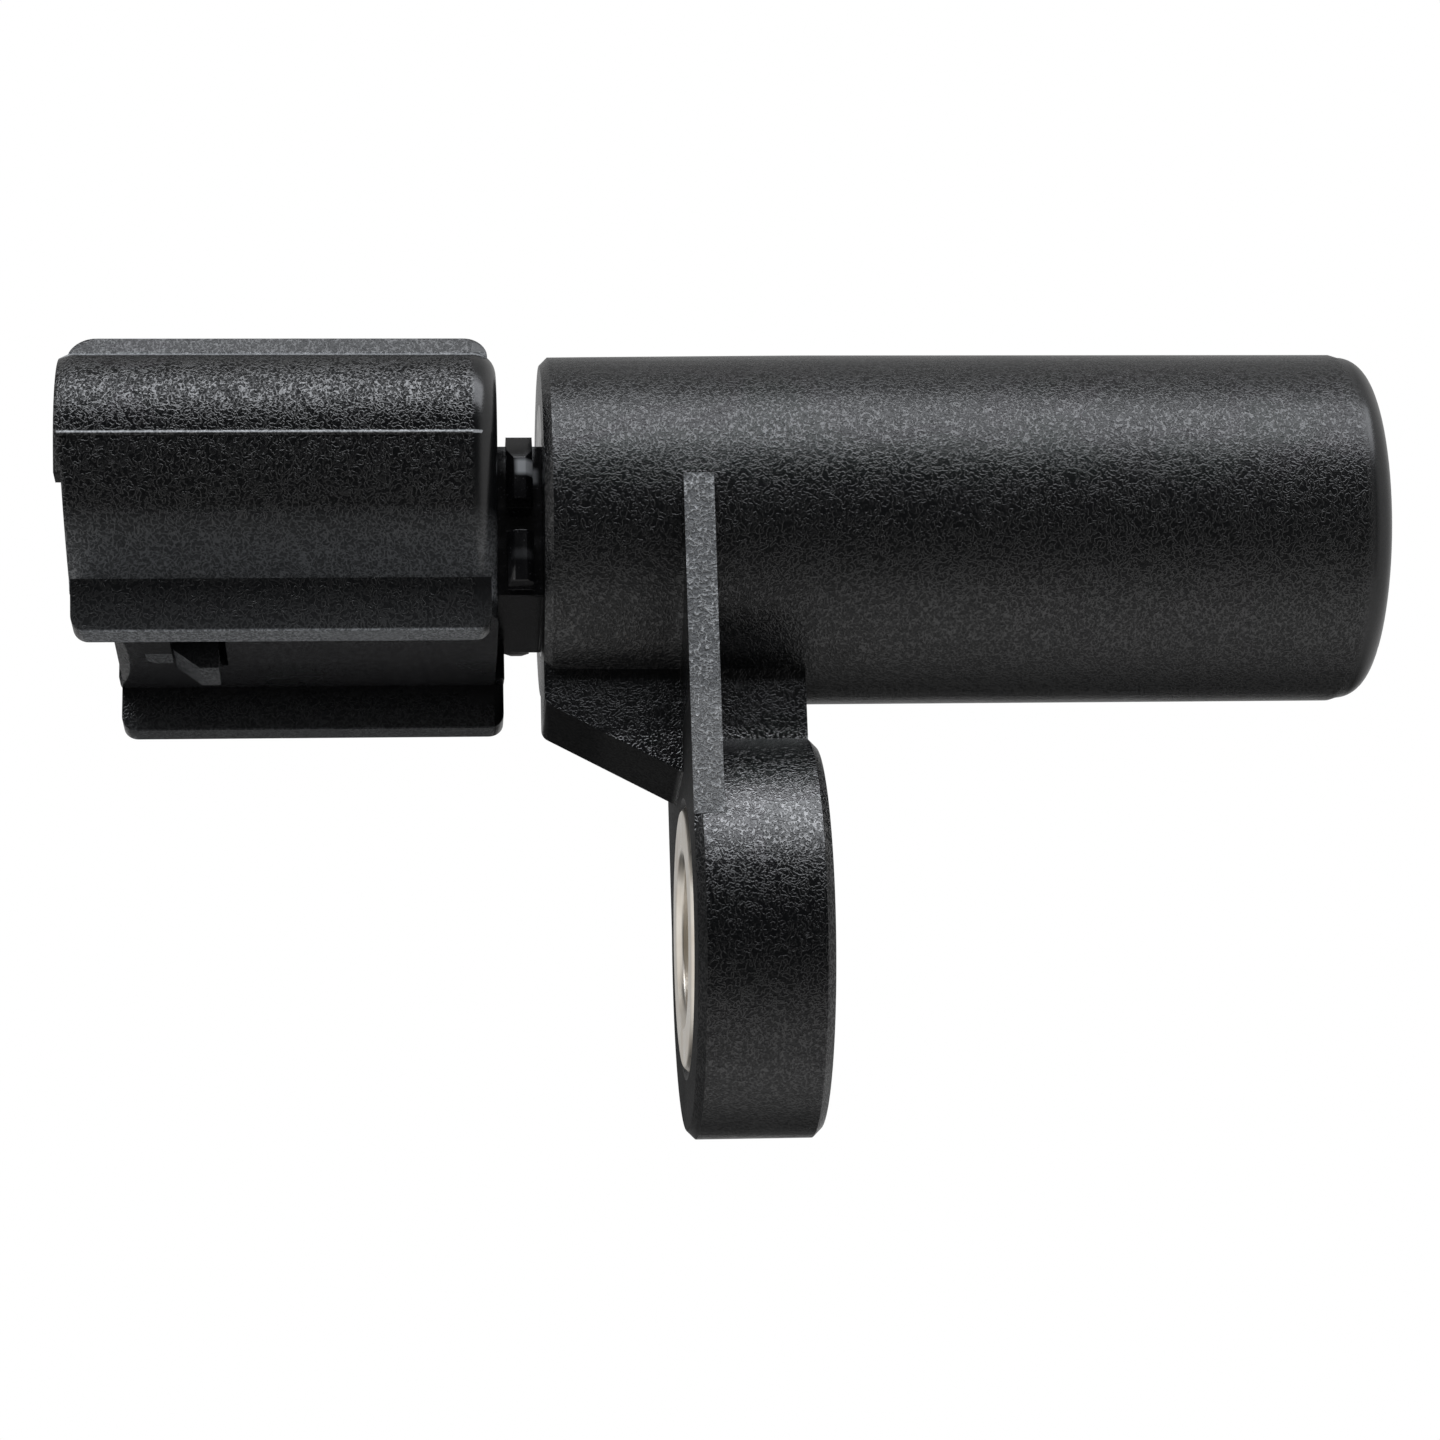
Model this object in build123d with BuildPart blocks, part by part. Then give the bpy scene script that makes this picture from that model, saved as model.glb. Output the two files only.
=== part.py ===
"""Camshaft position sensor: a moulded probe barrel with a bolt ear, a neck and a three-blade connector.

Frame: +X runs along the barrel to its sensing tip and +Z points away from the bolt ear. The origin
lies on the barrel's axis, in the plane of the ear's seat. All sizes are in millimetres.
"""
import os
from math import asin, atan, cos, degrees, radians, tan

from build123d import *

# Probe barrel
barrel_radius = 7.5
barrel_back = -11.2
barrel_reach = 23.3
barrel_back_chamfer = 0.35
barrel_back_draft = 0.08
shoulder_step = 0.12
shoulder_length = 0.4
dome_height = 1.7
dome_corner_round = 1.0
tip_wall = 1.4
bore_radius = 5.4

# Bolt ear, and the plate and web that carry it
ear_radius = 8.3
ear_drop = 18.1
ear_thickness = 5.5
ear_chamfer = 0.35
plate_thickness = 1.25
plate_half_width = 7.6
plate_top_drop = 0.3
web_thickness = 4.8
web_setback = 0.25
gusset_start_drop = 8.5
gusset_end_drop = 11.6
gusset_corner_round = 0.5

# Compression bushing in the ear
bushing_radius = 5.55
bushing_bore_radius = 3.5
bushing_stand_proud = 0.1
bushing_chamfer = 0.25
bushing_relief = 0.3

# Connector shell: its outline across the barrel, from the flat top down to the channel's floor
shell_half_width = 7.6
shoulder_round = 4.1
shoulder_rise = 2.37
crease_rise = 1.55
side_round = 10.5
side_foot_half_width = 4.5
side_foot_drop = 3.75
floor_drop = 5.6
floor_side_drop = 4.98
shell_wall = 1.3

# Connector shell along the barrel: the back, the stepped mouth, the crown and the parting line's bead
shell_back = -13.1
shell_back_wall = 3.4
shell_back_round = 1.0
shell_mouth = -31.25
mouth_edge_length = 0.55
mouth_edge_depth = 0.25
side_mouth_setback = 0.3
side_mouth_rake = 0.25
side_mouth_top = 0.1
side_mouth_drop = 4.3
floor_mouth_setback = 2.15
far_corner_drop = 2.7
floor_edge_length = 0.55
floor_edge_height = 0.35
crown_half_width = 5.67
crown_foot_rise = 5.9
crown_rise = 6.63
crown_side_lean = 20
crown_setback = 0.35
crown_back_setback = 0.35
crown_end_round = 1.2
bead_height = 0.22
bead_proud = 0.08
bead_front_setback = 0.15

# Guide rails under the connector shell, staggered along the barrel
rail_root_half_span = 7.75
rail_root_drop = 4.87
rail_tip_half_span = 7.15
rail_tip_drop = 6.93
rail_tip_thickness = 1.28
rail_end_round = 0.65
near_rail_setback = 0.85
near_rail_back_gap = 0.35
far_rail_setback = 2.0
far_rail_overhang = 0.4

# Lock nose, its window and the pad before it, in the channel between the rails
lock_setback = 4.55
lock_ramp_length = 1.15
lock_crest_length = 0.8
lock_height = 0.85
lock_half_width = 1.15
lock_pad_length = 1.1
lock_pad_height = 0.25
lock_pad_round = 0.6
window_side_reach = 3.0
window_back_gap = 0.3

# Terminal carrier: head in the shell, neck, plug in the barrel and tongue under the board
head_half_width = 4.6
head_half_height = 1.7
head_stand_proud = 0.6
neck_half_width = 4.9
neck_top = 2.68
neck_bottom = 3.97
neck_shell_gap = 0.4
neck_barrel_gap = 0.4
neck_web_setback = 1.2
neck_web_drop = 0.25
neck_gap_top = 0.32
neck_gap_bottom = 1.75
neck_facet_width = 0.8
neck_facet_height = 1.2
neck_corner_chamfer = 0.3
neck_lobe_round = 0.8
plug_length = 8.9
bore_clearance = 0.1

# Terminals
blade_pitch = 2.54
blade_width = 1.2
blade_thickness = 0.64
blade_tip_depth = 6.25
blade_tip_chamfer = 0.2
blade_solder_length = 1.8

# Circuit board and the chips on it
board_width = 8.4
board_thickness = 1.0
board_end_gap = 1.0
board_edge_clearance = 0.05
chip_offset = 2.3
first_row_gap = 2.2
row_pitch = 3.4
capacitor_size = (2.0, 1.25, 0.9)
resistor_size = (1.6, 0.8, 0.45)
diode_size = (1.7, 1.3, 0.95)

# Sensing stack at the tip: magnet, flux plate and hall element in their holder
magnet_radius = 3.0
magnet_length = 4.0
magnet_clearance = 0.05
flux_plate_thickness = 0.5
element_thickness = 1.5
element_width = 4.1
element_height = 3.0
element_tip_gap = 0.2
holder_back_wall = 2.0
holder_setback = 0.5
lead_pitch = 1.27
lead_thickness = 0.4
lead_height_over_magnet = 0.6
lead_bend_radius = 0.5
lead_foot_length = 0.9
lead_foot_inset = 1.2
lead_slot_clearance = 0.25

# Places that follow from the sizes above
tip_plane = barrel_reach + dome_height
bore_end = tip_plane - tip_wall
dome_radius = barrel_radius - shoulder_step
dome_inner_radius = dome_radius - dome_corner_round
dome_slope = 2 * degrees(atan((dome_height - dome_corner_round) / dome_inner_radius))
ear_back = -ear_thickness
shell_top = shoulder_rise + shoulder_round
shoulder_centre = shell_half_width - shoulder_round
crease_angle = degrees(asin((shoulder_rise - crease_rise) / shoulder_round))
crease_half_width = shoulder_centre + shoulder_round * cos(radians(crease_angle))
side_mouth = shell_mouth + side_mouth_setback
floor_mouth = shell_mouth + floor_mouth_setback
channel_half_width = rail_tip_half_span - rail_tip_thickness
socket_floor = shell_back - shell_back_wall
blade_tip = shell_mouth + blade_tip_depth
lock_start = shell_mouth + lock_setback
lock_end = lock_start + lock_ramp_length + lock_crest_length
fit_radius = bore_radius - bore_clearance
plug_front = barrel_back + plug_length
element_front = bore_end - element_tip_gap
element_back = element_front - element_thickness
flux_plate_back = element_back - flux_plate_thickness
magnet_back = flux_plate_back - magnet_length
holder_back = magnet_back - holder_back_wall
holder_front = bore_end - holder_setback
board_top = -blade_thickness / 2
board_bottom = board_top - board_thickness
board_back = plug_front + board_end_gap
board_front = holder_back - board_end_gap
blade_end = board_back + blade_solder_length
first_row = blade_end + first_row_gap
second_row = first_row + row_pitch
lead_rise = magnet_radius + lead_height_over_magnet
head_width_span = (-head_half_width, head_half_width)
head_height_span = (-head_half_height, head_half_height)
wire_names = ("supply", "signal", "ground")
wire_places = (1, 0, -1)
beyond = 2 * (shell_half_width + ear_drop)
whole = (-beyond, beyond)


def across(x):
    """The plane across the barrel at a place on X: its x runs along +Y and its y along +Z."""
    return Plane(origin=(x, 0, 0), x_dir=(0, 1, 0), z_dir=(1, 0, 0))


def block(x_span, y_span, z_span, mode=Mode.ADD):
    """A box over three spans, each a pair of places, added to or cut from the part in hand."""
    spans = (x_span, y_span, z_span)
    with Locations(tuple(sum(span) / 2 for span in spans)):
        return Box(*[span[1] - span[0] for span in spans], mode=mode)


def finish(piece, name):
    """Labels a finished piece and writes it as its own STEP file."""
    piece.part.label = name
    export_step(piece.part, f"parts/{name}.step")


os.makedirs("parts", exist_ok=True)

# Sensor body: ear, barrel, plate and web in one moulding
with BuildPart() as sensor_body:
    with BuildSketch(across(ear_back)):
        with Locations((0, -ear_drop)):
            Circle(ear_radius)
    extrude(amount=ear_thickness)
    chamfer(edges().filter_by(GeomType.CIRCLE), ear_chamfer)
    with BuildSketch(Plane.XZ):
        with BuildLine():
            back_radius = barrel_radius - barrel_back_draft
            edge_start = (barrel_back, back_radius - barrel_back_chamfer)
            edge_end = (barrel_back + barrel_back_chamfer, back_radius)
            shoulder_start = (barrel_reach - shoulder_length, barrel_radius)
            shoulder_end = (barrel_reach, dome_radius)
            Polyline(edge_start, edge_end, (0, barrel_radius), shoulder_start, shoulder_end)
            dome_corner = JernArc(shoulder_end, (1, 0), dome_corner_round, dome_slope - 90)
            TangentArc(dome_corner @ 1, (tip_plane, 0), tangent=dome_corner % 1)
            Polyline((tip_plane, 0), (barrel_back, 0), edge_start)
        make_face()
    revolve(axis=Axis.X)
    with BuildSketch(across(ear_back)):
        with Locations((0, -plate_top_drop)):
            Rectangle(2 * plate_half_width, ear_drop - plate_top_drop, align=(Align.CENTER, Align.MAX))
    extrude(amount=plate_thickness)
    with BuildSketch(Plane.XZ):
        with BuildLine():
            web_foot = -(ear_drop - bushing_radius - bushing_relief)
            Polyline(
                (barrel_back, -barrel_radius / 2),
                (barrel_back, -gusset_start_drop),
                (ear_back, -gusset_end_drop),
                (ear_back, web_foot),
                (-web_setback, web_foot),
                (-web_setback, -barrel_radius / 2),
                close=True,
            )
        make_face()
        fillet(vertices().group_by(Axis.X)[0].sort_by(Axis.Y)[0], gusset_corner_round)
    extrude(amount=web_thickness / 2, both=True)
    with BuildSketch(across(ear_back)):
        with Locations((0, -ear_drop)):
            Circle(bushing_radius)
    extrude(amount=ear_thickness, mode=Mode.SUBTRACT)
    ear_hole = edges().filter_by(GeomType.CIRCLE).filter_by(lambda e: abs(e.radius - bushing_radius) < 1e-6)
    chamfer(ear_hole, bushing_relief)
    with BuildSketch(across(barrel_back)):
        Circle(bore_radius)
    extrude(amount=bore_end - barrel_back, mode=Mode.SUBTRACT)
finish(sensor_body, "sensor_body")

# Compression bushing: the metal sleeve that takes the bolt's clamping force
with BuildPart() as compression_bushing:
    with BuildSketch(across(ear_back - bushing_stand_proud)):
        with Locations((0, -ear_drop)):
            Circle(bushing_radius)
            Circle(bushing_bore_radius, mode=Mode.SUBTRACT)
    extrude(amount=ear_thickness + bushing_stand_proud)
    chamfer(edges().filter_by(GeomType.CIRCLE), bushing_chamfer)
finish(compression_bushing, "compression_bushing")


def shell_outline(x, inset=0):
    """A face across the barrel with the shell's outline: flat top, round shoulders, sides drawn in below."""
    with BuildSketch(across(x)) as outline:
        with BuildLine():
            foot = (side_foot_half_width, -side_foot_drop)
            crease = (crease_half_width, crease_rise)
            Line((0, shell_top), (shoulder_centre, shell_top))
            CenterArc((shoulder_centre, shoulder_rise), shoulder_round, 90, -(90 + crease_angle))
            RadiusArc(crease, foot, side_round)
            Polyline(foot, (side_foot_half_width, -floor_drop), (0, -floor_drop))
            mirror(about=Plane.YZ)
        make_face()
        if inset:
            offset(amount=-inset)
    return outline.sketch


# Connector shell: shroud, channel floor, two guide rails, crown and lock nose
with BuildPart() as connector_shell:
    extrude(shell_outline(shell_back), amount=shell_mouth + mouth_edge_length - shell_back)
    back_edges = faces().sort_by(Axis.X)[-1].edges()
    fillet(back_edges.filter_by(lambda e: e.center().Z > -floor_drop), shell_back_round)
    loft([shell_outline(shell_mouth + mouth_edge_length), shell_outline(shell_mouth, mouth_edge_depth)])
    # The crown: a flat plate over the top with rounded ends, whose sides lean in
    with BuildSketch(Plane.XZ, mode=Mode.PRIVATE) as crown_side:
        with BuildLine():
            crown_start = shell_mouth + crown_setback
            crown_end = shell_back - crown_back_setback
            Polyline((crown_start, 0), (crown_start, crown_rise), (crown_end, crown_rise), (crown_end, 0))
            Line((crown_end, 0), (crown_start, 0))
        make_face()
        fillet(vertices().group_by(Axis.Y)[-1].sort_by(Axis.X)[0], crown_end_round)
        fillet(vertices().group_by(Axis.Y)[-1].sort_by(Axis.X)[-1], shell_back_round)
    with BuildSketch(across(shell_back), mode=Mode.PRIVATE) as crown_section:
        with BuildLine():
            crown_top_half_width = crown_half_width - (crown_rise - crown_foot_rise) * tan(radians(crown_side_lean))
            Polyline((0, 0), (shoulder_centre, 0), (crown_half_width, crown_foot_rise))
            Polyline((crown_half_width, crown_foot_rise), (crown_top_half_width, crown_rise), (0, crown_rise), (0, 0))
        make_face()
        mirror(about=Plane.YZ)
    crown_bar = extrude(crown_section.sketch, amount=shell_mouth - shell_back, mode=Mode.PRIVATE)
    add(extrude(crown_side.sketch, amount=beyond, both=True, mode=Mode.PRIVATE) & crown_bar)
    # The bead that the mould leaves along the crease
    bead_span = (shell_mouth + bead_front_setback, shell_back - shell_back_round)
    with BuildSketch(across(bead_span[0])):
        with BuildLine():
            Polyline(
                (shoulder_centre, crease_rise),
                (crease_half_width, crease_rise + bead_height / 2),
                (crease_half_width + bead_proud, crease_rise),
                (crease_half_width, crease_rise - bead_height / 2),
                close=True,
            )
        make_face()
        mirror(about=Plane.YZ)
    extrude(amount=bead_span[1] - bead_span[0])
    # The mouth, stepped back at the sides and again at the channel's floor
    with BuildSketch(Plane.XZ, mode=Mode.PRIVATE) as mouth:
        with BuildLine():
            Polyline(
                (shell_mouth, side_mouth_top),
                (side_mouth, side_mouth_top),
                (side_mouth + side_mouth_rake, -side_mouth_drop),
                (floor_mouth, floor_edge_height - floor_drop),
                (floor_mouth + floor_edge_length, -floor_drop),
                (floor_mouth + floor_edge_length, -beyond),
                (shell_mouth, -beyond),
                close=True,
            )
        make_face()
    extrude(mouth.sketch, amount=beyond, both=True, mode=Mode.SUBTRACT)
    far_corner = (shell_wall - side_foot_half_width, beyond)
    block((shell_mouth, floor_mouth), far_corner, (-beyond, -far_corner_drop), mode=Mode.SUBTRACT)
    # Guide rails, and the channel between them with its gently bowed floor
    rail_spans = (
        (-1, shell_mouth + near_rail_setback, shell_back - near_rail_back_gap),
        (1, shell_mouth + far_rail_setback, shell_back + far_rail_overhang),
    )
    for side, rail_start, rail_end in rail_spans:
        with BuildPart(mode=Mode.PRIVATE) as rail:
            with BuildSketch(across(rail_start)):
                Polygon(
                    (side * (side_foot_half_width - shell_wall / 2), -side_foot_drop),
                    (side * rail_root_half_span, -rail_root_drop),
                    (side * rail_tip_half_span, -rail_tip_drop),
                    (side * (side_foot_half_width - shell_wall / 2), -rail_tip_drop),
                    align=None,
                )
            extrude(amount=rail_end - rail_start)
            fillet(edges().filter_by(Axis.Y).group_by(Axis.Z)[0], rail_end_round)
        add(rail.part)
    with BuildSketch(across(0)):
        with BuildLine():
            channel_corner = (channel_half_width, -floor_side_drop)
            ThreePointArc((-channel_half_width, -floor_side_drop), (0, -floor_drop), channel_corner)
            Polyline(
                channel_corner,
                (channel_half_width, -beyond),
                (-channel_half_width, -beyond),
                (-channel_half_width, -floor_side_drop),
            )
        make_face()
    extrude(amount=beyond, both=True, mode=Mode.SUBTRACT)
    extrude(mouth.sketch, amount=channel_half_width, both=True, mode=Mode.SUBTRACT)
    # The socket
    extrude(shell_outline(socket_floor, shell_wall), amount=-beyond, mode=Mode.SUBTRACT)
    # The pad, then the lock nose in a window that is open on one side of it and behind it
    lock_foot = shell_wall - floor_drop
    with BuildSketch(Plane.XY.offset(lock_foot)):
        with Locations((lock_start, -window_side_reach / 2)):
            RectangleRounded(2 * lock_pad_length, window_side_reach, lock_pad_round)
    extrude(amount=-(shell_wall + lock_pad_height))
    window = (lock_start, lock_end + window_back_gap)
    block(window, (-window_side_reach, lock_half_width), (-beyond, lock_foot), mode=Mode.SUBTRACT)
    with BuildSketch(Plane.XZ):
        with BuildLine():
            lock_crest = -(floor_drop + lock_height)
            Polyline(
                (lock_start, lock_foot),
                (lock_start, -floor_drop),
                (lock_start + lock_ramp_length, lock_crest),
                (lock_end, lock_crest),
                (lock_end, lock_foot),
                close=True,
            )
        make_face()
    extrude(amount=lock_half_width, both=True)
    # The pocket that the terminal carrier's head fills
    block((socket_floor, shell_back), head_width_span, head_height_span, mode=Mode.SUBTRACT)
finish(connector_shell, "connector_shell")

# Terminal carrier: head, neck, plug and the tongue that the board lies on
neck_span = (shell_back, barrel_back)
neck_block_span = (shell_back + neck_shell_gap, barrel_back - neck_barrel_gap)
neck_web_half_width = neck_half_width - neck_web_setback
with BuildPart() as terminal_carrier:
    block((socket_floor - head_stand_proud, shell_back), head_width_span, head_height_span)
    neck_web_height_span = (-neck_bottom - neck_web_drop, neck_top - neck_web_drop)
    block(neck_span, (-neck_web_half_width, neck_web_half_width), neck_web_height_span)
    with BuildSketch(across(neck_block_span[0])):
        with BuildLine():
            facet_foot = (neck_half_width, neck_top - neck_facet_height)
            facet_top = (neck_half_width - neck_facet_width, neck_top)
            Polyline((0, -neck_gap_top), (neck_half_width, -neck_gap_top), facet_foot)
            Polyline(facet_foot, facet_top, (0, neck_top), (0, -neck_gap_top))
        make_face()
        mirror(about=Plane.YZ)
        with Locations((0, -neck_bottom)):
            Rectangle(2 * neck_half_width, neck_bottom - neck_gap_bottom, align=(Align.CENTER, Align.MIN))
        lobe_top = vertices().filter_by_position(Axis.Y, -neck_gap_bottom, -neck_gap_bottom)
        fillet(lobe_top, neck_lobe_round)
    extrude(amount=neck_block_span[1] - neck_block_span[0])
    block_sides = edges(Select.LAST).filter_by(Axis.Z).group_by(Axis.Y)
    chamfer(block_sides[0] + block_sides[-1], neck_corner_chamfer)
    with BuildSketch(across(barrel_back)):
        Circle(bore_radius)
    extrude(amount=plug_length)
    with BuildSketch(across(plug_front)):
        Circle(fit_radius)
        with Locations((0, board_top)):
            Rectangle(2 * beyond, beyond, align=(Align.CENTER, Align.MIN), mode=Mode.SUBTRACT)
        with Locations((0, board_bottom)):
            board_bay_width = board_width + 2 * board_edge_clearance
            Rectangle(board_bay_width, beyond, align=(Align.CENTER, Align.MIN), mode=Mode.SUBTRACT)
    extrude(amount=holder_back - plug_front)
    for place in wire_places:
        block(
            (socket_floor - head_stand_proud, plug_front),
            (place * blade_pitch - blade_width / 2, place * blade_pitch + blade_width / 2),
            (-blade_thickness / 2, blade_thickness / 2),
            mode=Mode.SUBTRACT,
        )
finish(terminal_carrier, "terminal_carrier")

# Terminals: straight blades from the socket through the carrier to the board
for name, place in zip(wire_names, wire_places):
    with BuildPart() as terminal:
        block(
            (blade_tip, blade_end),
            (place * blade_pitch - blade_width / 2, place * blade_pitch + blade_width / 2),
            (-blade_thickness / 2, blade_thickness / 2),
        )
        chamfer(faces().sort_by(Axis.X)[0].edges(), blade_tip_chamfer)
    finish(terminal, f"terminal_{name}")

# Circuit board
with BuildPart() as circuit_board:
    block((board_back, board_front), (-board_width / 2, board_width / 2), (board_bottom, board_top))
finish(circuit_board, "circuit_board")

# Chips in two rows on the board
chips = {
    "supply_capacitor": (first_row, chip_offset, capacitor_size),
    "output_capacitor": (first_row, -chip_offset, capacitor_size),
    "suppressor_diode": (second_row, chip_offset, diode_size),
    "pull_up_resistor": (second_row, -chip_offset, resistor_size),
}
for name, (x, y, (length, width, height)) in chips.items():
    with BuildPart() as chip:
        block((x, x + length), (y - width / 2, y + width / 2), (board_top, board_top + height))
    finish(chip, name)

# Magnet holder: a round moulding with a pocket for the stack and a slot for the leads
with BuildPart() as magnet_holder:
    with BuildSketch(across(holder_back)):
        Circle(fit_radius)
    extrude(amount=holder_front - holder_back)
    with BuildSketch(across(magnet_back)):
        Circle(magnet_radius + magnet_clearance)
    extrude(amount=holder_front - magnet_back, mode=Mode.SUBTRACT)
    slot_half_width = lead_pitch + lead_thickness / 2 + lead_slot_clearance
    slot_bottom = lead_rise - lead_thickness / 2 - lead_slot_clearance
    slot_side_span = (-slot_half_width, slot_half_width)
    block((holder_back, holder_front), slot_side_span, (slot_bottom, beyond), mode=Mode.SUBTRACT)
    block((element_back, holder_front), slot_side_span, (0, beyond), mode=Mode.SUBTRACT)
    block(
        (element_back, holder_front),
        (-element_width / 2 - magnet_clearance, element_width / 2 + magnet_clearance),
        (-element_height / 2 - magnet_clearance, element_height / 2 + magnet_clearance),
        mode=Mode.SUBTRACT,
    )
finish(magnet_holder, "magnet_holder")

# Bias magnet and flux plate, two discs in the holder's pocket
for name, start, end in (
    ("bias_magnet", magnet_back, flux_plate_back),
    ("flux_plate", flux_plate_back, element_back),
):
    with BuildPart() as disc:
        with BuildSketch(across(start)):
            Circle(magnet_radius)
        extrude(amount=end - start)
    finish(disc, name)

# Hall element and its three leads, which rise over the magnet and come down on the board
with BuildPart() as hall_element:
    block(
        (element_back, element_front),
        (-element_width / 2, element_width / 2),
        (-element_height / 2, element_height / 2),
    )
finish(hall_element, "hall_element")

lead_x = (element_back + element_front) / 2
foot_x = board_front - lead_foot_inset
foot_z = board_top + lead_thickness / 2
for name, place in zip(wire_names, wire_places):
    with BuildPart() as lead:
        with BuildSketch(Plane.XZ.offset(-place * lead_pitch)):
            with BuildLine():
                FilletPolyline(
                    (lead_x, element_height / 2),
                    (lead_x, lead_rise),
                    (foot_x, lead_rise),
                    (foot_x, foot_z),
                    (foot_x - lead_foot_length, foot_z),
                    radius=lead_bend_radius,
                )
            trace(line_width=lead_thickness)
        extrude(amount=lead_thickness / 2, both=True)
    finish(lead, f"hall_lead_{name}")
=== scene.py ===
"""Camshaft position sensor: finishes, rounded edges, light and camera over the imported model.

Places and lengths are in millimetres in the part's own frame unless a comment says otherwise.
"""
import math
from functools import partial, reduce

import bpy
from mathutils import Matrix, Vector


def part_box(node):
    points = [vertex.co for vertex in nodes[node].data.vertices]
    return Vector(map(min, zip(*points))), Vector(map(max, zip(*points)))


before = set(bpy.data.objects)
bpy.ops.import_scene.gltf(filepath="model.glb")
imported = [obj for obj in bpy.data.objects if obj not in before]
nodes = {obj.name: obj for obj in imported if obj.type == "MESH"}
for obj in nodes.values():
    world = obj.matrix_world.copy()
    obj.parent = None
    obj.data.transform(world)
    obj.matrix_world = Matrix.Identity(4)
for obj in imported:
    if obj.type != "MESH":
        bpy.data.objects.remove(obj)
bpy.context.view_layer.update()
scene = bpy.context.scene

MM = 0.001

# Camera: where it stands and what it looks at, its roll in degrees, its lens and the nearest thing it sees
CAMERA_PLACE = (-16.87, -160.61, -60.39)
CAMERA_AIM = (-3.55, 1.99, -7.91)
CAMERA_ROLL = -1.89
CAMERA_LENS = 100
SENSOR_WIDTH = 36
NEAREST_SEEN = 10

# Key light: a softbox above and in front
KEY_PLACE = (-10, -188, 259)
KEY_SIZE = (500, 230)
KEY_POWER = 1.55
KEY_COLOUR = (0.95, 0.98, 1.03)

# Room light by the angle in degrees round the barrel's axis: 0 in front, 90 above, -90 below
ROOM_LEVELS = (
    (-180, 0.22), (-165, 0.05), (-145, 0.07), (-128, 0.28), (-110, 0.58), (-88, 0.88),
    (-66, 0.75), (-45, 0.26), (-25, 0.05), (0, 0.02), (25, 0.03), (60, 0.15),
    (95, 0.42), (125, 0.38), (150, 0.45), (180, 0.55),
)
LEFT_END_LEVEL = 0.90
RIGHT_END_LEVEL = 0.80

# The room's ends by a direction's part along X: where each starts to show and where it shows in full, and
# where the left end's level changes to the right end's
LEFT_END = (-0.55, -0.9)
RIGHT_END = (0.3, 0.8)
END_CHANGE = (-0.1, 0.1)

# Floor, below the barrel's axis
FLOOR_DROP = 220
FLOOR_SIZE = 3000
FLOOR_GREY = (0.8, 0.8, 0.8)
FLOOR_ROUGHNESS = 0.9

# Edges: how near points are welded, the least angle in degrees that is rounded, a rounding's steps, how much
# a face's size counts in its shading, and the width of the rounding on each piece
WELD_DISTANCE = 0.0005
ROUNDED_ANGLE = 28
ROUND_SEGMENTS = 3
FACE_WEIGHT = 80
EDGE_ROUNDS = {
    "sensor_body": 0.22,
    "connector_shell": 0.16,
    "terminal_carrier": 0.14,
    "compression_bushing": 0.08,
    "magnet_holder": 0.12,
    "bias_magnet": 0.15,
    "hall_element": 0.12,
}
SMALL_EDGE_ROUND = 0.05

# The housing's black, and the grey that paints light on it and on the carrier's neck: painted highlights and
# painted light
BLACK = (0.004, 0.0042, 0.0046)
PAINTED_LIGHT_GREY = (0.33, 0.34, 0.35)

# The carrier's black, and the painted light on its neck: a painted glint and a faint painted light, each as
# spans along X and Z and how far it turns grey
CARRIER_BLACK = (0.004, 0.004, 0.0045)
NECK_PAINTED_GLINTS = (((-12.30, -11.40), (0.75, 1.38), 1.0), ((-12.45, -11.65), (-3.0, -2.6), 0.06))

# How soft the edge of a place is
SOFT_EDGE = 0.1
FIRM_EDGE = 0.05
LOCK_EDGE = 0.03
SHARP_EDGE = 0.02
EAR_MIDDLE_EDGE = 1.6

# Places on the housing. A rise is a pair: where the place starts to show and where it shows in full.
# Along X:
DOME_RISE = (23.0, 23.4)
WEB = (-4.2, 0.5)
PLATE = (-5.6, -4.2)
GUSSET = (-11.5, -5.65)
SHELL_BACK_BAND = (-14.1, -12.0)
SHELL_END = -13.1
CONNECTOR_RISE = (-13.8, -14.1)
# Off the middle plane:
PLATE_EDGE_RISE = (7.5, 7.58)
SEAM_INNER_LIMIT = 7.45
CHANNEL_HALF_WIDTH = 5.8
LOCK_SIDE_HALF_WIDTH = 1.6
LOCK_HALF_WIDTH = 1.2
# NEAR_TO_FAR: where the painted highlight on the rail tips fades from the near side to the far side
NEAR_TO_FAR = (-1.0, 1.0)
# Along Z, on the connector:
CROWN_RISE = (5.87, 5.93)
# CROWN_LINE and SEAM hold painted highlight lines along the crown's foot and the parting line
CROWN_LINE = (5.65, 5.9)
SEAM = (1.53, 1.65)
BELOW_SEAM_RISE = (1.65, 1.45)
UNDER_SIDE_RISE = (-1.2, -3.5)
UNDER_SIDE_END = (-4.8, -4.35)
FLOOR_MOUTH_RISE = (-2.6, -3.2)
LOCK_SIDE_RISE = (-4.4, -4.6)
CHANNEL = (-5.7, -4.6)
LOCK = (-6.73, -5.65)
RAIL_RISE = (-4.7, -4.9)
RAIL_FACE_RISE = (-5.2, -6.93)
RAIL_TIP_RISE = (-6.81, -6.89)
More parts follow.
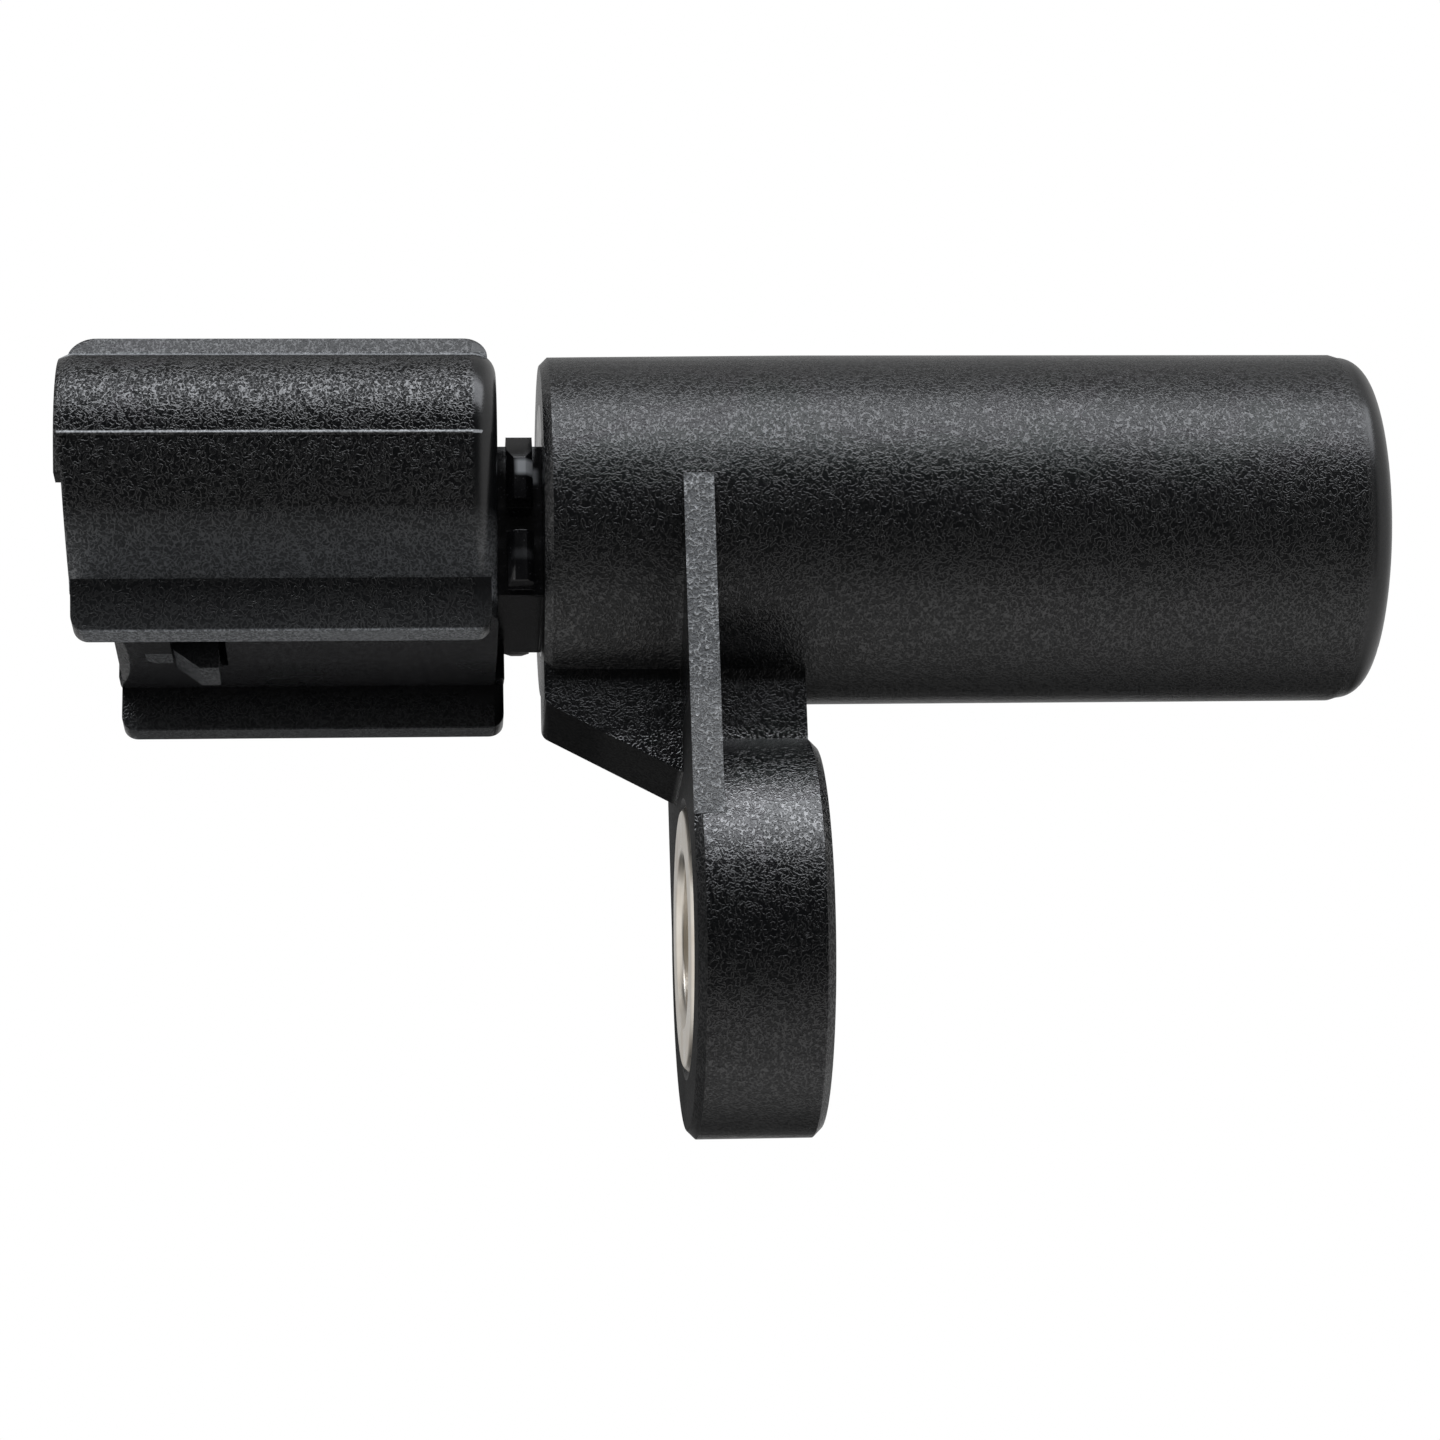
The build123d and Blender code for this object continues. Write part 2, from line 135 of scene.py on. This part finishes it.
# Along Z, on the body:
PLATE_EDGE_HEIGHTS = (-14.9, 0.5)
WEB_HEIGHTS = (-10.0, -7.4)
GUSSET_RISE = (-6.0, -7.4)
GUSSET_FOOT_RISE = (-7.35, -7.45)
EAR_RISE = (-9.6, -10.0)
EAR_POLISH_RISE = (-17.2, -14.6)
LOW_EAR_RISE = (-15.5, -19.5)
EAR_MIDDLE = (-21.0, -18.0)
EAR_FOOT_RISE = (-24.3, -25.8)
# How a face points, as one part of its normal:
MOUTH_FACING = (-0.3, -0.7)
GUSSET_UNDER_FACING = (-0.3, -0.6)
EAR_BACK_FACING = (-0.6, -0.8)
UPRIGHT_FACING = 0.7

# The housing's grain: the sizes of its cells, its depths, how plain the crown is, and the share of depth that
# is left on plain and sheltered places
GRAIN_CELL = 0.19
EDGE_GRAIN_CELL = 0.25
FINE_DEPTH = 0.014
COARSE_DEPTH = 0.017
EDGE_DEPTH = 0.3
CROWN_PLAINNESS = 0.6
PLAIN_SHARE = 0.1
SHELTERED_SHARE = 0.6

# The housing's roughness, and how much lower or higher it is on the ear and on faces turned from the light
CLOUD_CELL = 5.0
HOUSING_ROUGHNESS = (0.23, 0.29)
EAR_SMOOTHNESS = 0.04
TURNED_ROUGHNESS = 0.4

# The housing's specular level: how far the grain swings it, its level, and its share in some places
GRAIN_MIDDLE = 0.62
FINE_SWING = 0.8
COARSE_SWING = 1.6
BELOW_SEAM_SWING = 0.65
LOW_EAR_SWING = 0.45
SHINE = 0.5
POLISHED_SHINE = 1.1
SHINE_SHARES = {"crown": 0.8, "hidden": 0.2, "ear_middle": 0.5, "ear_foot": 1.5}
LEAST_SHINE = 0.05

# The housing's index of refraction, and its value on faces turned from the light
PLASTIC_BEND = 1.5
TURNED_BEND = 1.15

# How far places of the housing turn to the painted light grey (painted highlights and painted light), the
# share of that on the far side's tip, and what it is multiplied by from one height of the grain to another
PAINTED_LIGHT_PLACES = {
    "near_tips": 0.42, "lock": 0.17, "seam": 1.0, "crown_line": 0.6, "under_side": 0.31, "rail_face": 0.06,
    "channel": 0.045,
}
FAR_TIP_SHARE = 0.3
GRAIN_TO_UNEVEN = (0.3, 1.0, 0.5, 1.5)
GRAIN_TO_EDGE_HIGHLIGHT = (0.40, 0.95, 0.34, 0.96)

# A leather grain: sizes as shares of its cell, the half width of a ridge in noise, and the weights
SWAY_CELL = 2.2
SWAY_REACH = 1.6
SPECK_CELL = 0.45
RIDGE_HALF_WIDTH = 0.10
RIDGE_WEIGHT = 0.6
SPECK_WEIGHT = 0.8

# A noise's values lie mostly between these
NOISE_RANGE = (0.3, 0.7)

# Bushing: its axis below the barrel's, the lathe's rings and the stains, and its bright and stained colours
BUSHING_DROP = 18.1
RING_CELL = 0.12
RING_DEPTH = 0.006
STAIN_CELL = 1.6
BRIGHT_STEEL = (0.82, 0.78, 0.71)
STAINED_STEEL = (0.70, 0.63, 0.54)

# Board: pitch of the weave, half the pitch of the tracks, how far off the gap a track starts, and colours
WEAVE_PITCH = 0.5
WEAVE_SHARE = 0.3
HALF_TRACK_PITCH = 1.27
TRACK_RISE = (0.85, 0.90)
MASKED_BOARD = (0.010, 0.075, 0.030)
MASKED_TRACK = (0.035, 0.17, 0.06)

# Magnet, epoxy and the chips' tinned ends
DARK_ALLOY = (0.09, 0.09, 0.095)
BRIGHT_ALLOY = (0.30, 0.30, 0.31)
EPOXY = (0.012, 0.012, 0.013)
FILLER = (0.06, 0.06, 0.06)
TIN = (0.72, 0.70, 0.66)


def look(place, aim, roll=0.0):
    """The placing of a camera or lamp that stands at a place and looks at another, rolled by degrees."""
    place, aim = Vector(place) * MM, Vector(aim) * MM
    turn = (aim - place).to_track_quat("-Z", "Y").to_matrix() @ Matrix.Rotation(math.radians(roll), 3, "Z")
    return Matrix.Translation(place) @ turn.to_4x4()


class Nodes:
    """A node tree under construction."""

    def __init__(self, tree):
        self.tree = tree

    def node(self, kind, inputs=(), **settings):
        """A new node with settings, whose inputs are linked to sockets or set to values."""
        made = self.tree.nodes.new(kind)
        for key, value in settings.items():
            setattr(made, key, value)
        for key, value in dict(inputs).items():
            self.put(made.inputs[key], value)
        return made

    def put(self, socket, value):
        """Links a socket to another, or sets its value."""
        if isinstance(value, bpy.types.NodeSocket):
            self.tree.links.new(value, socket)
        else:
            socket.default_value = value

    def math(self, operation, a, b=0.0):
        """The outcome of a math node."""
        return self.node("ShaderNodeMath", {0: a, 1: b}, operation=operation).outputs[0]

    def times(self, *values):
        """The product of values; of masks, where all of them hold."""
        return reduce(partial(self.math, "MULTIPLY"), values)

    def most(self, *values):
        """The largest of values; of masks, where any of them holds."""
        return reduce(partial(self.math, "MAXIMUM"), values)

    def opposite(self, mask):
        """A mask of where another doesn't hold."""
        return self.math("SUBTRACT", 1.0, mask)

    def spread(self, value, low, high, to_low=0.0, to_high=1.0, smooth=False):
        """A value mapped from one range to another, clamped."""
        kind = "SMOOTHSTEP" if smooth else "LINEAR"
        inputs = {0: value, 1: low, 2: high, 3: to_low, 4: to_high}
        return self.node("ShaderNodeMapRange", inputs, interpolation_type=kind).outputs[0]

    def where(self, mask, amount, elsewhere=1.0):
        """One amount where a mask holds and another elsewhere."""
        return self.spread(mask, 0.0, 1.0, elsewhere, amount)

    def axes(self, vector):
        """The three parts of a vector."""
        return self.node("ShaderNodeSeparateXYZ", {0: vector}).outputs

    def ramp(self, value, levels):
        """A grey level looked up in (place, level) pairs whose places run from 0 to 1."""
        made = self.node("ShaderNodeValToRGB", {0: value})
        elements = made.color_ramp.elements
        while len(elements) < len(levels):
            elements.new(0.5)
        for element, (place, level) in zip(elements, levels):
            element.position = place
            element.color = (level, level, level, 1)
        return made.outputs[0]


class Material(Nodes):
    """A node material under construction, with its place in millimetres and its Principled shader."""

    def __init__(self, name, colour, **constants):
        self.data = bpy.data.materials.new(name)
        self.data.use_nodes = True
        super().__init__(self.data.node_tree)
        self.shader = self.tree.nodes["Principled BSDF"]
        self.shader.inputs["Base Color"].default_value = (*colour, 1)
        for key, value in constants.items():
            self.shader.inputs[key.replace("_", " ").title()].default_value = value
        metres = self.node("ShaderNodeTexCoord").outputs["Object"]
        scaled = self.node("ShaderNodeVectorMath", {0: metres, "Scale": 1 / MM}, operation="SCALE")
        self.place = scaled.outputs[0]
        self.facing = self.axes(self.node("ShaderNodeNewGeometry").outputs["True Normal"])
        self.x, self.y, self.z = self.axes(self.place)

    def noise(self, cell, detail=2.0, place=None, output=0):
        """Noise with cells of a size in millimetres."""
        inputs = {"Vector": place or self.place, "Scale": 1 / cell, "Detail": detail}
        return self.node("ShaderNodeTexNoise", inputs).outputs[output]

    def mix(self, factor, low, high):
        """A colour mixed from two."""
        made = self.node("ShaderNodeMix", {0: factor}, data_type="RGBA")
        for socket, value in ((made.inputs[6], low), (made.inputs[7], high)):
            self.put(socket, value if isinstance(value, bpy.types.NodeSocket) else (*value, 1))
        return made.outputs[2]

    def vary(self, noise, low, high):
        """A value that a noise moves between two limits."""
        return self.spread(noise, *NOISE_RANGE, low, high)

    def vector(self, operation, a, b):
        """The outcome of a vector math node."""
        return self.node("ShaderNodeVectorMath", {0: a, 1: b}, operation=operation).outputs[0]

    def within(self, value, low, high, soft=SOFT_EDGE):
        """1 where a value lies between two limits, falling to 0 over a soft edge."""
        rise = self.spread(value, low - soft, low + soft)
        fall = self.spread(value, high - soft, high + soft, 1.0, 0.0)
        return self.math("MULTIPLY", rise, fall)

    def finish(self, colour=None, roughness=None, height=None, depth=0.0, metallic=None, **others):
        """Links the surface's sockets; the height from 0 to 1 stands for a depth in millimetres."""
        values = {"Base Color": colour, "Roughness": roughness, "Metallic": metallic, **others}
        for name, value in values.items():
            if value is not None:
                self.put(self.shader.inputs[name], value)
        if height is not None:
            distance = self.math("MULTIPLY", depth, MM)
            inputs = {"Height": height, "Distance": distance, "Strength": 1.0}
            self.put(self.shader.inputs["Normal"], self.node("ShaderNodeBump", inputs).outputs[0])
        return self.data


def leather(material, cell):
    """The height of a leather grain: short winding ridges about half a cell apart, broken by specks."""
    sway = material.noise(cell * SWAY_CELL, 1.0, output=1)
    moved = material.vector("MULTIPLY", sway, (cell * SWAY_REACH,) * 3)
    folds = material.noise(cell, 1.0, place=material.vector("ADD", material.place, moved))
    off_ridge = material.math("ABSOLUTE", material.math("SUBTRACT", folds, 0.5))
    ridges = material.spread(off_ridge, 0.0, RIDGE_HALF_WIDTH, 1.0, 0.0, smooth=True)
    specks = material.noise(cell * SPECK_CELL)
    return material.math("ADD", material.times(ridges, RIDGE_WEIGHT), material.times(specks, SPECK_WEIGHT))


def connector_places(material):
    """Masks, by name, of the places on the connector's shell whose finish differs."""
    x, y, z = material.x, material.y, material.z
    facing_x, facing_y, _ = material.facing
    times, rise, within = material.times, material.spread, material.within
    shell = material.math("LESS_THAN", x, SHELL_END)
    off_middle = material.math("ABSOLUTE", y)
    outward = material.math("GREATER_THAN", times(y, facing_y), 0.0)
    upright = material.math("GREATER_THAN", material.math("ABSOLUTE", facing_y), UPRIGHT_FACING)

    in_lock_side = material.math("LESS_THAN", off_middle, LOCK_SIDE_HALF_WIDTH)
    lock_side = times(shell, upright, in_lock_side, rise(z, *LOCK_SIDE_RISE))
    off_lock_side = material.opposite(lock_side)
    in_lock = material.math("LESS_THAN", off_middle, LOCK_HALF_WIDTH)
    in_channel = material.math("LESS_THAN", off_middle, CHANNEL_HALF_WIDTH)
    floor_mouth = times(shell, rise(facing_x, *MOUTH_FACING), rise(z, *FLOOR_MOUTH_RISE))
    rail_tip = times(shell, rise(z, *RAIL_TIP_RISE))
    on_seam = material.math("GREATER_THAN", off_middle, SEAM_INNER_LIMIT)
    connector = rise(x, *CONNECTOR_RISE)
    return {
        "connector": connector,
        "back_band": within(x, *SHELL_BACK_BAND),
        "crown": times(shell, rise(z, *CROWN_RISE)),
        # Painted highlight lines along the crown's foot and along the parting line
        "crown_line": times(shell, within(z, *CROWN_LINE, SHARP_EDGE)),
        "seam": times(shell, within(z, *SEAM, SHARP_EDGE), on_seam),
        "below_seam": times(connector, rise(z, *BELOW_SEAM_RISE)),
        # Painted light on the under side, strongest where it turns down
        "under_side": times(shell, rise(z, *UNDER_SIDE_RISE), rise(z, *UNDER_SIDE_END), outward),
        "rail": times(shell, rise(z, *RAIL_RISE)),
        # Painted light on the rails' faces, growing towards the tips
        "rail_face": times(shell, rise(z, *RAIL_FACE_RISE)),
        "rail_tip": rail_tip,
        # Painted highlights on the rail tips, weaker on the far side
        "near_tips": times(rail_tip, rise(y, *NEAR_TO_FAR, 1.0, FAR_TIP_SHARE)),
        # Painted light on the channel floor and on the lock nose
        "channel": times(shell, in_channel, within(z, *CHANNEL, FIRM_EDGE), off_lock_side),
        "lock": times(shell, in_lock, within(z, *LOCK, LOCK_EDGE), off_lock_side),
        "hidden": material.most(floor_mouth, lock_side),
    }


def body_places(material):
    """Masks, by name, of the places on the sensor's body whose finish differs."""
    x, y, z = material.x, material.y, material.z
    facing_x, _, facing_z = material.facing
    times, rise, within = material.times, material.spread, material.within
    ear = rise(z, *EAR_RISE)
    on_plate = times(within(x, *PLATE, FIRM_EDGE), within(z, *PLATE_EDGE_HEIGHTS, FIRM_EDGE))
    gusset = times(within(x, *GUSSET), rise(z, *GUSSET_RISE))
    gusset_under = times(gusset, rise(z, *GUSSET_FOOT_RISE), rise(facing_z, *GUSSET_UNDER_FACING))
    return {
        "dome": rise(x, *DOME_RISE),
        # The plate's front edge: a coarser grain and a painted highlight
        "plate_edge": times(rise(material.math("ABSOLUTE", y), *PLATE_EDGE_RISE), on_plate),
        "gusset": gusset,
        "web": times(within(x, *WEB), within(z, *WEB_HEIGHTS)),
        "ear": ear,
        "polished_ear": times(ear, rise(z, *EAR_POLISH_RISE)),
        "low_ear": times(ear, rise(z, *LOW_EAR_RISE)),
        "ear_middle": times(ear, within(z, *EAR_MIDDLE, EAR_MIDDLE_EDGE)),
        "ear_foot": times(ear, rise(z, *EAR_FOOT_RISE)),
        "turned": material.most(gusset_under, times(ear, rise(facing_x, *EAR_BACK_FACING))),
    }


def housing_plastic():
    """Matt black moulded plastic with a leather grain: coarse on the ear, its plate's edge and the connector.

    It has painted light in grey: a painted highlight on the plate's edge, painted highlight lines on the
    parting line and the crown's foot, painted highlights on the rail tips, and painted light on the under
    side, the rails' faces, the channel and the lock nose.
    """
    material = Material("housing_plastic", BLACK)
    times, most, where = material.times, material.most, material.where
    places = connector_places(material) | body_places(material)
    # The plate's edge has a coarser grain of its own and a painted highlight in grey
    edge_grain_and_highlight = places["plate_edge"]
    coarse = most(places["ear"], edge_grain_and_highlight, places["connector"])
    half_plain = times(places["crown"], CROWN_PLAINNESS)
    plain = most(places["dome"], places["back_band"], half_plain, places["rail_tip"], places["lock"])
    sheltered = most(places["rail"], places["gusset"], places["web"])

    own_grain = times(leather(material, GRAIN_CELL), material.opposite(edge_grain_and_highlight))
    grain = material.math("ADD", own_grain, times(leather(material, EDGE_GRAIN_CELL), edge_grain_and_highlight))
    grained = where(plain, PLAIN_SHARE)
    depth = times(where(coarse, COARSE_DEPTH, FINE_DEPTH), grained, where(sheltered, SHELTERED_SHARE))
    depth = material.math("ADD", depth, times(edge_grain_and_highlight, EDGE_DEPTH))

    clouds = material.vary(material.noise(CLOUD_CELL, 3.0), *HOUSING_ROUGHNESS)
    roughness = material.math("SUBTRACT", clouds, times(places["ear"], EAR_SMOOTHNESS))
    roughness = material.math("ADD", roughness, times(places["turned"], TURNED_ROUGHNESS))

    calmed = times(where(places["below_seam"], BELOW_SEAM_SWING), where(places["low_ear"], LOW_EAR_SWING))
    swing = times(where(coarse, COARSE_SWING, FINE_SWING), grained, calmed)
    swung = times(material.math("SUBTRACT", grain, GRAIN_MIDDLE), swing)
    shine = material.math("ADD", swung, where(places["polished_ear"], POLISHED_SHINE, SHINE))
    shine = times(shine, *(where(places[name], share) for name, share in SHINE_SHARES.items()))
    others = {
        "Specular IOR Level": most(shine, LEAST_SHINE),
        "IOR": where(places["turned"], TURNED_BEND, PLASTIC_BEND),
    }

    # Painted light: grey for the highlights on the plate's edge, the lines and the rail tips, and for the
    # light on the under side, the rails' faces, the channel and the lock nose, broken up by the grain
    uneven = material.spread(grain, *GRAIN_TO_UNEVEN)
    painted_lights = [times(places[name], amount, uneven) for name, amount in PAINTED_LIGHT_PLACES.items()]
    pale = most(times(edge_grain_and_highlight, material.spread(grain, *GRAIN_TO_EDGE_HIGHLIGHT)), *painted_lights)
    return material.finish(material.mix(pale, BLACK, PAINTED_LIGHT_GREY), roughness, grain, depth, **others)


def glossy_plastic(name, colour, shine, depth, painted_light_places=()):
    """Smooth moulded plastic with faint flow marks, an uneven shine, dust, and places turned grey as painted
    glints and painted light.
    """
    material = Material(name, colour)
    flow = material.noise(1.2, 4.0)
    roughness = material.vary(material.noise(0.5, 3.0), *shine)
    dust = material.spread(material.noise(0.12, 1.0), 0.68, 0.72)
    dusty = tuple(level * 4 + 0.01 for level in colour)
    tone = material.mix(dust, colour, dusty)
    # Painted glints and painted light: places turned grey
    for along, up, amount in painted_light_places:
        place = material.times(material.within(material.x, *along), material.within(material.z, *up))
        tone = material.mix(material.times(place, amount), tone, PAINTED_LIGHT_GREY)
    return material.finish(tone, roughness, flow, depth)


def turned_steel():
    """Satin plated steel with fine rings from the lathe round the bushing's axis."""
    material = Material("bushing_steel", BRIGHT_STEEL, metallic=1.0)
    up = material.math("ADD", material.z, BUSHING_DROP)
    squares = material.math("ADD", material.times(material.y, material.y), material.times(up, up))
    radius = material.math("SQRT", squares)
    ring_place = material.node("ShaderNodeCombineXYZ", {0: radius, 1: material.x}).outputs[0]
    rings = material.noise(RING_CELL, 3.0, place=ring_place)
    stains = material.noise(STAIN_CELL, 4.0)
    colour = material.mix(material.spread(stains, 0.35, 0.7), BRIGHT_STEEL, STAINED_STEEL)
    roughness = material.spread(material.math("ADD", rings, stains), 0.7, 1.3, 0.24, 0.42)
    return material.finish(colour, roughness, rings, RING_DEPTH)


def plated_metal(name, colour, stretch, shine, depth=0.004):
    """Bright or brushed metal with fine marks drawn out by a stretch and darker clouds."""
    material = Material(name, colour, metallic=1.0)
    marks = material.noise(0.08, 3.0, place=material.vector("MULTIPLY", material.place, stretch))
    clouds = material.noise(0.9, 3.0)
    dull = tuple(level * 0.72 for level in colour)
    tone = material.mix(material.spread(clouds, 0.4, 0.75), colour, dull)
    return material.finish(tone, material.vary(marks, *shine), marks, depth)


def sintered_alloy():
    """Dark grey sintered magnet with pits and bright specks."""
    material = Material("magnet_alloy", DARK_ALLOY, metallic=1.0)
    grit = material.noise(0.10, 3.0)
    colour = material.mix(material.spread(grit, 0.35, 0.7), DARK_ALLOY, BRIGHT_ALLOY)
    return material.finish(colour, material.vary(grit, 0.55, 0.38), grit, 0.02)


def board_laminate():
    """Green solder mask over a woven laminate, with copper tracks showing through as paler lines."""
    material = Material("board_laminate", MASKED_BOARD)
    turns = 2 * math.pi / WEAVE_PITCH
    warp = material.math("SINE", material.times(material.x, turns))
    weft = material.math("SINE", material.times(material.y, turns))
    weave = material.spread(material.times(warp, weft), -1.0, 1.0)
    off_gap = material.math("PINGPONG", material.math("ADD", material.y, HALF_TRACK_PITCH), HALF_TRACK_PITCH)
    track = material.spread(off_gap, *TRACK_RISE)
    colour = material.mix(track, MASKED_BOARD, MASKED_TRACK)
    height = material.math("ADD", material.times(weave, WEAVE_SHARE), track)
    return material.finish(colour, material.vary(material.noise(1.0), 0.25, 0.38), height, 0.012)


def chip(name, node, colour, cap_share, grit):
    """A chip's body with tinned ends that take up a share of its length, placed by the chip's own box."""
    material = Material(name, colour)
    low, high = (corner[0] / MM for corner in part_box(node))
    half = (high - low) / 2
    cap_start = half * (1 - cap_share)
    off_middle = material.math("ABSOLUTE", material.math("SUBTRACT", material.x, low + half))
    cap = material.spread(off_middle, cap_start - SHARP_EDGE, cap_start + SHARP_EDGE)
    speckle = material.noise(grit, 3.0)
    darker = tuple(level * 0.75 for level in colour)
    tone = material.mix(cap, material.mix(material.spread(speckle, 0.35, 0.7), darker, colour), TIN)
    height = material.math("ADD", speckle, cap)
    return material.finish(tone, material.spread(height, 0.3, 1.4, 0.5, 0.28), height, 0.01, cap)


def moulded_epoxy():
    """Dull black epoxy with a fine sparkle of filler."""
    material = Material("chip_black", EPOXY)
    filler = material.noise(0.07)
    colour = material.mix(material.spread(filler, 0.62, 0.70), EPOXY, FILLER)
    return material.finish(colour, material.vary(filler, 0.55, 0.40), filler, 0.008)


def new_object(name, data):
    """A new object in the scene."""
    made = bpy.data.objects.new(name, data)
    scene.collection.objects.link(made)
    return made


finishes = {
    "housing_plastic": housing_plastic(),
    "carrier_plastic": glossy_plastic("carrier_plastic", CARRIER_BLACK, (0.08, 0.22), 0.02, NECK_PAINTED_GLINTS),
    "holder_plastic": glossy_plastic("holder_plastic", (0.030, 0.030, 0.033), (0.35, 0.50), 0.02),
    "bushing_steel": turned_steel(),
    "tinned_brass": plated_metal("tinned_brass", (0.80, 0.78, 0.73), (0.12, 1, 1), (0.18, 0.34)),
    "plate_steel": plated_metal("plate_steel", (0.56, 0.56, 0.57), (1, 0.1, 1), (0.28, 0.45)),
    "magnet_alloy": sintered_alloy(),
    "board_laminate": board_laminate(),
    "chip_ceramic": chip("chip_ceramic", "supply_capacitor", (0.46, 0.33, 0.21), 0.25, 0.15),
    "chip_black": moulded_epoxy(),
}
own_finishes = {
    "suppressor_diode": chip("diode_body", "suppressor_diode", (0.014, 0.014, 0.015), 0.12, 0.08),
    "pull_up_resistor": chip("resistor_body", "pull_up_resistor", (0.018, 0.018, 0.022), 0.25, 0.08),
}
for name, node in nodes.items():
    for holder in node.material_slots:
        holder.material = own_finishes.get(name, finishes[holder.material.name])
    weld = node.modifiers.new("weld", "WELD")
    weld.merge_threshold = WELD_DISTANCE * MM
    bevel = node.modifiers.new("edge round", "BEVEL")
    bevel.width = EDGE_ROUNDS.get(name, SMALL_EDGE_ROUND) * MM
    bevel.segments = ROUND_SEGMENTS
    bevel.limit_method = "ANGLE"
    bevel.angle_limit = math.radians(ROUNDED_ANGLE)
    bevel.miter_outer = "MITER_ARC"
    node.data.shade_smooth()
    weighted = node.modifiers.new("flat faces stay flat", "WEIGHTED_NORMAL")
    weighted.keep_sharp = False
    weighted.weight = FACE_WEIGHT

# Camera
camera = new_object("camera", bpy.data.cameras.new("camera"))
camera.data.lens = CAMERA_LENS
camera.data.sensor_width = SENSOR_WIDTH
camera.data.clip_start = NEAREST_SEEN * MM
camera.matrix_world = look(CAMERA_PLACE, CAMERA_AIM, CAMERA_ROLL)
scene.camera = camera

# Key light
key = new_object("key", bpy.data.lights.new("key", "AREA"))
key.data.shape = "RECTANGLE"
key.data.size, key.data.size_y = (side * MM for side in KEY_SIZE)
key.data.energy = KEY_POWER
key.data.color = KEY_COLOUR
key.matrix_world = look(KEY_PLACE, (0, 0, 0))

# Floor
mesh = bpy.data.meshes.new("floor")
half = FLOOR_SIZE * MM / 2
mesh.from_pydata([(-half, -half, 0), (half, -half, 0), (half, half, 0), (-half, half, 0)], [], [(0, 1, 2, 3)])
mesh.materials.append(Material("floor", FLOOR_GREY, roughness=FLOOR_ROUGHNESS).data)
floor = new_object("floor", mesh)
floor.location.z = -FLOOR_DROP * MM
floor.visible_glossy = False

# World: white to the camera; as light, a dim room with a pale ceiling, backdrop, table and ends
world = bpy.data.worlds.new("studio")
scene.world = world
world.use_nodes = True
world.node_tree.nodes.clear()
room = Nodes(world.node_tree)
along, forward, up = room.axes(room.node("ShaderNodeTexCoord").outputs["Generated"])
angle = room.math("ARCTAN2", up, room.times(forward, -1.0))
turn = room.spread(angle, -math.pi, math.pi)
level = room.ramp(turn, [((degrees + 180) / 360, value) for degrees, value in ROOM_LEVELS])
end_level = room.spread(along, *END_CHANGE, LEFT_END_LEVEL, RIGHT_END_LEVEL)
end = room.most(room.spread(along, *LEFT_END, smooth=True), room.spread(along, *RIGHT_END, smooth=True))
end_grey = room.node("ShaderNodeMix", {0: end, 6: level, 7: end_level}, data_type="RGBA").outputs[2]
dim = room.node("ShaderNodeBackground", {"Color": end_grey}).outputs[0]
white = room.node("ShaderNodeBackground", {"Color": (1, 1, 1, 1)}).outputs[0]
rays = room.node("ShaderNodeLightPath").outputs
seen = room.most(rays["Is Camera Ray"], rays["Is Transmission Ray"])
shown = room.node("ShaderNodeMixShader", {0: seen, 1: dim, 2: white}).outputs[0]
room.node("ShaderNodeOutputWorld", {0: shown})

scene.view_settings.view_transform = "Standard"
